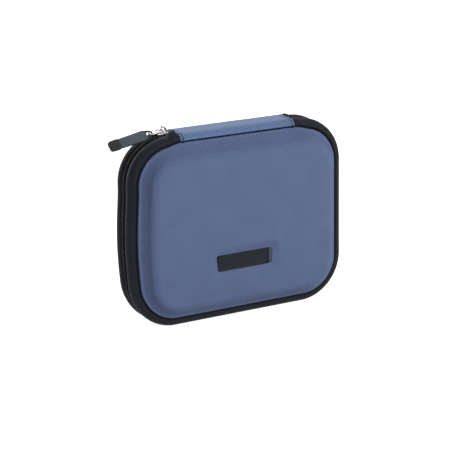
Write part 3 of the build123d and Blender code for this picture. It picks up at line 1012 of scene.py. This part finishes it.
def cad_corners(node):
    """A node's box in millimetres."""
    low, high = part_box(node)
    return [v / MM for v in low], [v / MM for v in high]


def across(first, last, step):
    """Places across a strap, closer at its two edges, each with its share of the thickness."""
    edge = [(0.0, 0.3), (0.15, 0.7), (0.45, 1.0)]
    middle = np.linspace(first + 1.2, last - 1.2, int((last - first) / step))
    left = [(first + d, share) for d, share in edge]
    right = [(last - d, share) for d, share in reversed(edge)]
    return left + [(v, 1.0) for v in middle] + right


def spot_at(x, middle, half, z, cloth):
    """A spot of an upright cloth, half its thickness before and behind its middle."""
    return (x, middle - half, z), (x, middle + half, z), cloth


def webbing(name, node, first, last, slack=0.0):
    """A length of flat elastic up the base, with a rounded edge and a faint slack wave."""
    step, thinner = 1.2, 0.85
    (x0, y0, _), (x1, y1, _) = cad_corners(node)
    lines = []
    for z in np.linspace(first, last, max(int((last - first) / step), 4)):
        line = []
        for x, share in across(x0, x1, step):
            middle = (y0 + y1) / 2 + slack * ripple((x, z), 17.0, 2.0)
            line.append(spot_at(x, middle, (y1 - y0) / 2 * share * thinner, z, (z, x)))
        lines.append(line)
    closed_sheet(name, lines, elastic, "base", [node])


def drive_strap():
    """The strap over the drive, and its two folded and sewn ends."""
    low, high = cad_corners("drive_strap")
    webbing("strap_webbing", "drive_strap", low[2], high[2], 0.05)
    low, high = cad_corners("strap_ends")
    webbing("strap_end_low", "strap_ends", low[2], low[2] + STRAP_FOLD)
    webbing("strap_end_high", "strap_ends", high[2] - STRAP_FOLD, high[2])


def half_width(z, inset):
    """How far a sheet that follows the case's outline reaches from the middle at a height."""
    r = CORNER - inset
    under = max(r - (z - inset), 0.0)
    return WIDTH / 2 - inset - r + (r * r - under * under) ** 0.5


def middle_of(node):
    """The middle of a node's thickness."""
    low, high = cad_corners(node)
    return (low[1] + high[1]) / 2


def pocket_mesh():
    """The stretched net, from the case's bottom to the pocket's mouth."""
    flat = middle_of("mesh_pocket")
    shares = np.sin(np.linspace(-pi / 2, pi / 2, 61))
    levels = POCKET_INSET + (POCKET_TOP - POCKET_INSET) * np.linspace(0, 1, 40) ** 1.25
    lines = []
    for z in levels:
        places = shares * max(half_width(z, POCKET_INSET), 1.0)
        middles = [flat + 0.08 * ripple((x, z), 15.0, 9.0) for x in places]
        lines.append([spot_at(x, y, NET_HALF, z, (x, z)) for x, y in zip(places, middles)])
    net = closed_sheet("pocket_net", lines, net_yarn, "lid", ["mesh_pocket"])
    widths = [2 * half_width(z, POCKET_INSET) for z in levels]
    area = sum((a + b) / 2 * rise for a, b, rise in zip(widths, widths[1:], np.diff(levels)))


def pocket_hem():
    """The gathered elastic at the pocket's mouth."""
    low, high = cad_corners("pocket_elastic")
    gathered, gather_pitch = 0.22, 3.1
    lines = []
    for z, share in across(POCKET_TOP - POCKET_HEM, POCKET_TOP, 0.6):
        line = []
        for x in np.linspace(low[0], high[0], 150):
            turn = x * 2 * pi / gather_pitch + 0.6 * ripple((x, 0), 9.0, 1.0)
            middle = (low[1] + high[1]) / 2 + gathered * sin(turn) * share
            line.append(spot_at(x, middle, HEM_HALF * share, z, (x, z)))
        lines.append(line)
    closed_sheet("pocket_hem", lines, elastic, "lid", ["pocket_elastic"])


def pocket_edge():
    """The tape that binds the net's sides and foot."""
    middle = middle_of("pocket_binding")
    whole, out = ring(POCKET_INSET, counts_for(2.0))
    below = whole[:, 1] + HEIGHT / 2 <= POCKET_TOP - POCKET_HEM
    along = run_length(whole[below])
    lines = []
    for d, share in across(0.0, POCKET_BINDING, 0.6):
        points = whole[below] - out[below] * d
        lines.append([spot_at(x, middle, BINDING_HALF * share, z + HEIGHT / 2, (s, d))
                      for (x, z), s in zip(points, along)])
    closed_sheet("pocket_edge", lines, grosgrain, "lid", ["pocket_binding"])


drive_strap()
pocket_mesh()
pocket_hem()
pocket_edge()


# Floor, light and camera


def white_stage():
    """A pale floor that fades into a white background and keeps a faint shadow."""
    pale, glowing, reach, under_feet = 0.68, 0.88, 6.0, 0.0002
    m = Look("pale_floor", 0.9, specular=0.0)
    m.shader.inputs["Base Color"].default_value = (pale, pale, pale, 1)
    glow = m.node("ShaderNodeEmission")
    m.put(glow.inputs["Strength"], m.mul(m.seen_directly(), glowing))
    both = m.node("ShaderNodeAddShader")
    m.put(both.inputs[0], m.shader.outputs[0])
    m.put(both.inputs[1], glow.outputs[0])
    m.put(m.tree.nodes["Material Output"].inputs["Surface"], both.outputs[0])
    mesh = bpy.data.meshes.new("floor")
    corners = [(x, y, 0) for x, y in box_corners(-reach, reach, -reach, reach)]
    mesh.from_pydata(corners, [], [(0, 1, 2, 3)])
    mesh.materials.append(m.material)
    floor = scene_object("floor", mesh)
    floor.location = (0, 0, -under_feet)


def world_light(strength):
    """Even light of a low strength, from a world that is white to the camera and in glosses."""
    world = bpy.data.worlds.new("studio")
    bpy.context.scene.world = world
    world.use_nodes = True
    m = Tree(world.node_tree)
    backdrop = m.tree.nodes["Background"]
    backdrop.inputs["Color"].default_value = (1, 1, 1, 1)
    m.put(backdrop.inputs["Strength"], m.remap(m.seen_directly(), 0.0, 1.0, strength, 1.0))


def softbox(name, place_at, size, watts):
    """A rectangular lamp turned to the case's middle, in metres."""
    aim = Vector((0, 0, 0.06))
    data = bpy.data.lights.new(name, "AREA")
    data.shape = "RECTANGLE"
    data.size, data.size_y = size
    data.energy = watts
    lamp = scene_object(name, data)
    lamp.location = place_at
    lamp.rotation_mode = "QUATERNION"
    lamp.rotation_quaternion = (Vector(place_at) - aim).to_track_quat("Z", "Y")


def photo_camera():
    """The camera at the photograph's viewing angle: its turn, lens and distance in millimetres."""
    azimuth, elevation, roll = radians(-27.0), radians(16.5), radians(-1.25)
    distance, focal_px, frame_px, sensor = 923.9, 1503.0, 450, 36.0
    target = Vector((-5.02, ZIP_Y, 55.65))
    level = -cos(azimuth) * cos(elevation)
    back = Vector((sin(azimuth) * cos(elevation), level, sin(elevation)))
    right = (-back).cross(Vector((0, 0, 1))).normalized()
    up = right.cross(-back)
    axes = (right * cos(roll) + up * sin(roll), up * cos(roll) - right * sin(roll), back)
    data = bpy.data.cameras.new("camera")
    data.sensor_width = sensor
    data.lens = focal_px * sensor / frame_px
    camera = scene_object("camera", data)
    matrix = Matrix([[axes[c][r] for c in range(3)] for r in range(3)]).to_4x4()
    matrix.translation = (target + back * distance) * MM
    camera.matrix_world = matrix
    bpy.context.scene.camera = camera


white_stage()
world_light(0.15)
softbox("key", (0.45, -1.35, 0.55), (0.5, 0.5), 15.0)
softbox("top", (0.0, 0.7, 1.1), (0.8, 0.5), 9.0)
softbox("left_fill", (-1.2, -0.7, 0.3), (0.5, 0.8), 0.3)
softbox("back_fill", (-0.5, 1.4, 0.4), (0.6, 0.5), 8.0)
photo_camera()
bpy.context.scene.view_settings.view_transform = "Standard"
